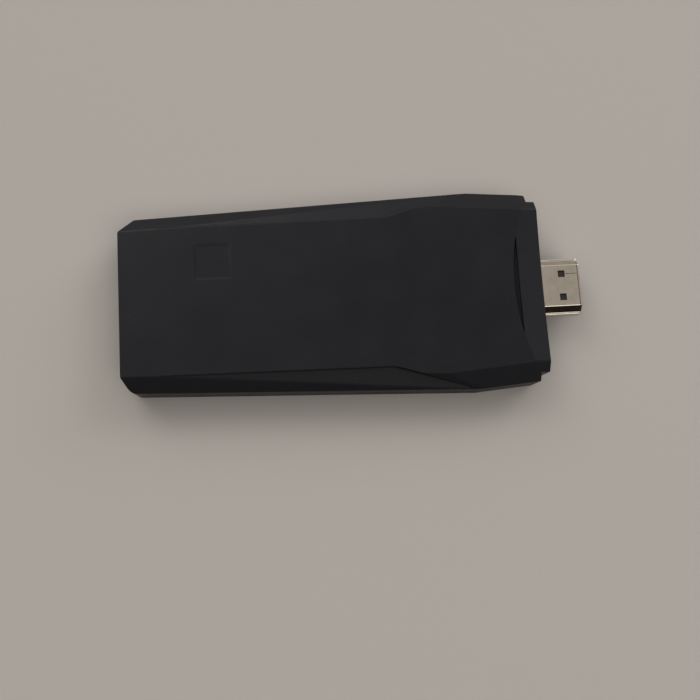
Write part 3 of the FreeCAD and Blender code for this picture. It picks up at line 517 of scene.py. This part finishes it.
def make_plug_shell():
    """Folded plug shell: a wide lower half, steep sides and a narrow crown.

    It has two square windows, a slit from each window to the tip, and a rim that turns in.
    """
    low, ledge, high, half = 4.275, 7.275, 8.725, 6.95
    corners = [(-5.0, high), (-6.4, ledge), (-half, ledge), (-half, low),
               (half, low), (half, ledge), (6.4, ledge), (5.0, high)]
    loop = rounded_loop(corners, [0.35, 0.2, 0.3, 0.6, 0.6, 0.3, 0.2, 0.35])
    edges = np.array([-1, 1]) * WINDOW_HALF
    slit = np.array([-0.1, -0.05, 0.0, 0.05, 0.1])
    spots = np.concatenate([side * WINDOW_SIDE + np.concatenate([edges, slit]) for side in (-1, 1)])
    loop = with_points(loop, np.concatenate([spots, [-4.0, -1.0, 1.0, 4.0]]))
    stations = [36.0, 44.0, 46.0, 48.0, 49.375, 50.2, 51.025, 52.4, 53.8,
                54.12, 54.16, 54.24, 54.28, 54.4, 54.55, 54.65, 54.7]
    insets = [0] * 9 + [0.0, 0.05, 0.05, 0.0, 0.01, 0.02, 0.05, 0.10]

    def window(middle):
        return ((np.abs(middle[:, 0] - WINDOW_ALONG) < WINDOW_HALF) & (middle[:, 2] > high - 0.01)
                & (np.abs(np.abs(middle[:, 1]) - WINDOW_SIDE) < WINDOW_HALF))

    points, faces = tube(loop, stations, insets, window)
    far_depth, near_depth = 0.09, 0.008
    on_line = np.abs(np.abs(points[:, 1]) - WINDOW_SIDE) < 0.02
    at_slit = on_line & (points[:, 2] > 8) & (points[:, 0] > WINDOW_ALONG + 0.8)
    points[at_slit, 2] -= np.where(points[at_slit, 1] > 0, far_depth, near_depth)
    piece = make_piece("plug_shell", points, faces)
    return stand_for(give_thickness(piece, 0.35), "hdmi_shell")


def make_usb_shell():
    """Rear port shell: a folded box of sheet with a mouth that flares a little."""
    low, high = 3.65, 9.35
    corners = [(-6.55, high), (-6.55, low), (6.55, low), (6.55, high)]
    loop = with_points(rounded_loop(corners, [0.7, 0.7, 0.7, 0.7]), np.linspace(-5, 5, 5))
    stations = [-54.3, -54.22, -54.1, -53.8, -53.4, -53.0, -50.0, -45.0, -40.3]
    insets = [-0.14, -0.13, -0.1, -0.05, -0.01, 0, 0, 0, 0]
    points, faces = tube(loop, stations, insets)
    return stand_for(give_thickness(make_piece("usb_shell", points, faces), 0.3), "usb_port_shell")


def strip(centre_line, across, width):
    """Flat strip carried along a line of points, with its width along one axis."""
    line = np.asarray(centre_line, float)
    side = np.asarray(across, float) * width / 2
    points = np.stack([line - side, line + side], axis=1).reshape(-1, 3)
    index = np.arange(len(points)).reshape(-1, 2)
    faces = np.stack([index[:-1, 0], index[:-1, 1], index[1:, 1], index[1:, 0]], axis=1)
    return points, faces


def make_usb_springs():
    """Four leaf springs in the rear port: each bows in by 0.42 mm, as a raised cosine."""
    steps, mouth_end, length, width, aside = 15, -52.6, 7.4, 1.7, 3.1
    floor, roof = 3.95 + 0.12, 9.05 - 0.01
    share = np.linspace(0, 1, steps)
    bow = 0.42 * (1 - np.cos(2 * np.pi * share)) / 2
    along = mouth_end + length * share
    points, faces = [], []
    for side in (-1, 1):
        for level, inward in ((floor, 1), (roof, -1)):
            line = np.stack([along, np.full(steps, side * aside), level + inward * bow], axis=1)
            more, quads = strip(line, (0, 1, 0), width)
            faces.append(quads + sum(len(item) for item in points))
            points.append(more)
    piece = make_piece("usb_springs", np.concatenate(points), np.concatenate(faces))
    solid = piece.modifiers.new("sheet", "SOLIDIFY")
    solid.thickness = 0.1 * MM
    solid.offset = 0
    piece.data.materials.append(FINISHES["port_steel"])
    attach(piece, "stick")
    return piece


def make_power_shell():
    """Power port shell: a folded trapezoid of sheet with a slightly flared mouth."""
    box_low, box_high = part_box("power_port_shell")
    x0, y0, z0 = (value / MM for value in box_low)
    x1, y1, z1 = (value / MM for value in box_high)
    cut = 0.8
    corners = [(x1, z1), (x0, z1), (x0, z0 + cut), (x0 + cut, z0), (x1 - cut, z0), (x1, z0 + cut)]
    loop = rounded_loop(corners, [0.3, 0.3, 0.5, 0.6, 0.6, 0.5])
    stations = [y1, y1 - 0.06, y1 - 0.15, y1 - 0.35, y1 - 0.6, y1 - 2.5, y0]
    insets = [-0.08, -0.07, -0.05, -0.015, 0, 0, 0]
    points, faces = tube(loop, stations, insets)
    points = points[:, [1, 0, 2]]
    return stand_for(give_thickness(make_piece("power_shell", points, faces), 0.25), "power_port_shell")


def make_spring_coil():
    """Coil spring of the card ejector: a round wire carried along a helix about the y axis.

    Its centre line at turn a is (R cos a, a's share of the length, R sin a). Each ring of the
    wire lies across that line, between the outward direction and its cross product with the
    line's own direction.
    """
    low, high = (np.array(corner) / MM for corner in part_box("ejector_spring"))
    wire, turns, steps, sides = 0.15, 11, 20, 8
    middle = (low + high) / 2
    radius = (high[0] - low[0] - wire) / 2
    angle = np.linspace(0, 2 * np.pi * turns, turns * steps + 1)[:, None]
    outward = np.concatenate([np.cos(angle), 0 * angle, np.sin(angle)], axis=1)
    along = low[1] + wire / 2 + (high[1] - low[1] - wire) * angle / angle[-1]
    axis = np.concatenate([0 * angle + middle[0], along, 0 * angle + middle[2]], axis=1)
    line = outward * radius + axis
    ahead = np.gradient(line, axis=0)
    ahead /= np.linalg.norm(ahead, axis=1, keepdims=True)
    side = np.cross(ahead, outward)
    ring = np.linspace(0, 2 * np.pi, sides, endpoint=False)[None, :, None]
    across = np.cos(ring) * outward[:, None] + np.sin(ring) * side[:, None]
    points = line[:, None] + wire / 2 * across
    index = np.arange(points.shape[0] * sides).reshape(-1, sides)
    after = np.roll(index, -1, axis=1)
    quads = np.stack([index[:-1], after[:-1], after[1:], index[1:]], axis=2).reshape(-1, 4)
    caps = [index[0][::-1], index[-1]]
    piece = make_piece("spring_coil", points.reshape(-1, 3), list(quads) + caps)
    piece.data.materials.append(FINISHES["screw_steel"])
    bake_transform(piece)
    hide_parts("ejector_spring")


def make_floor():
    """Pale table top that fades into the backdrop with distance.

    It can be seen through from below, and rays that start less than a millimetre above it pass,
    so that a look from below shows the stick's underside.
    """
    corners = [(x * TABLE_REACH, y * TABLE_REACH, TABLE_LEVEL) for x, y in SQUARE]
    mesh = bpy.data.meshes.new("table_top")
    mesh.from_pydata(corners, [], [(0, 1, 2, 3)])
    floor = bpy.data.objects.new("table_top", mesh)
    bpy.context.scene.collection.objects.link(floor)
    finish = Finish("table_paint").base(TABLE_COLOUR, 0.8, specular=0.0)
    distance = finish.add("ShaderNodeVectorMath", operation="LENGTH")
    finish.link(finish.place, distance, 0)
    glow = finish.add("ShaderNodeEmission", Color=(*BACKDROP, 1))
    share = finish.spread(distance.outputs["Value"], FADE_START, FADE_END, 0.0, 1.0)
    faded = finish.mix_shaders(share, finish.shader.outputs[0], glow.outputs[0])
    either = finish.add("ShaderNodeMath", operation="MAXIMUM")
    finish.link(finish.add("ShaderNodeNewGeometry").outputs["Backfacing"], either, 0)
    length = finish.add("ShaderNodeLightPath").outputs["Ray Length"]
    finish.link(finish.spread(length, 0.8 * MM, 1.0 * MM, 1.0, 0.0), either, 1)
    clear = finish.add("ShaderNodeBsdfTransparent")
    surface = finish.mix_shaders(either.outputs[0], faded, clear.outputs[0])
    finish.link(surface, finish.tree.nodes["Material Output"], "Surface")
    mesh.materials.append(finish.material)


def make_world():
    """Faint surrounding light, and a pale backdrop for the camera and for reflections."""
    world = bpy.data.worlds.new("world")
    world.use_nodes = True
    nodes, join = world.node_tree.nodes, world.node_tree.links.new
    faint = nodes["Background"]
    faint.inputs["Color"].default_value = (1.0, 0.985, 0.96, 1)
    faint.inputs["Strength"].default_value = 0.03
    backdrop = nodes.new("ShaderNodeBackground")
    backdrop.inputs["Color"].default_value = (*BACKDROP, 1)
    rays = nodes.new("ShaderNodeLightPath")
    seen = rays.outputs["Is Camera Ray"]
    for kind in ("Is Glossy Ray", "Is Transmission Ray"):
        either = nodes.new("ShaderNodeMath")
        either.operation = "MAXIMUM"
        join(seen, either.inputs[0])
        join(rays.outputs[kind], either.inputs[1])
        seen = either.outputs[0]
    choice = nodes.new("ShaderNodeMixShader")
    join(seen, choice.inputs[0])
    join(faint.outputs[0], choice.inputs[1])
    join(backdrop.outputs[0], choice.inputs[2])
    join(choice.outputs[0], nodes["World Output"].inputs["Surface"])
    bpy.context.scene.world = world


def make_dark_card():
    """Small dark card on the near side. Only reflections show it, as the plug's sloping flank does."""
    left, right, near, top = -0.3, 0.8, -1.0, 0.4
    corners = [(left, near, 0.0), (right, near, 0.0), (right, near, top), (left, near, top)]
    mesh = bpy.data.meshes.new("dark_card")
    mesh.from_pydata(corners, [], [(0, 1, 2, 3)])
    card = bpy.data.objects.new("dark_card", mesh)
    bpy.context.scene.collection.objects.link(card)
    cloth = Finish("dark_cloth").base((0.02, 0.015, 0.012), 0.9, specular=0.0)
    mesh.materials.append(cloth.material)
    card.visible_camera = False
    card.visible_diffuse = False
    card.visible_shadow = False


make_camera()
make_world()
make_floor()
make_dark_card()
make_light("ceiling", (0.0, 0.75, 3.0), (0, 0.75, 0), 6.0, 90.0, SOFT_WARM, mirrored=False)
make_light("window", (-1.25, 2.0, 1.9), (0, 0, 0), 2.0, 77.0, NEUTRAL, matt=False)
make_light("window_glow", (-1.25, 2.0, 1.9), (0, 0, 0), 2.0, 35.0, NEUTRAL, mirrored=False)
make_light("far_lamp", (0.9, 2.6, 1.4), (0, 0, 0), 2.0, 7.5, SOFT_WARM)
make_light("nose_lamp", (2.0, 1.5, 1.5), (0, 0, 0), 1.5, 22.0, COOL)
make_light("near_lamp", (0.7, -1.3, 2.1), (0, 0, 0), 1.25, 8.5, WARM)
dress_nodes()
soft_copy("top_cover", 0.22, reshape=ease_recess, recut=round_corner)
soft_copy("bottom_cover", 0.25, 0.05, recut=round_corner)
soft_copy("memory_card", 0.08, 0.01)
for name in ("hdmi_carrier", "usb_port_tongue", "power_port_tongue", "card_ejector"):
    soft_copy(name, 0.05, 0.01, 2)
make_plug_shell()
make_usb_shell()
make_usb_springs()
make_power_shell()
make_spring_coil()

bpy.context.scene.view_settings.view_transform = "Standard"
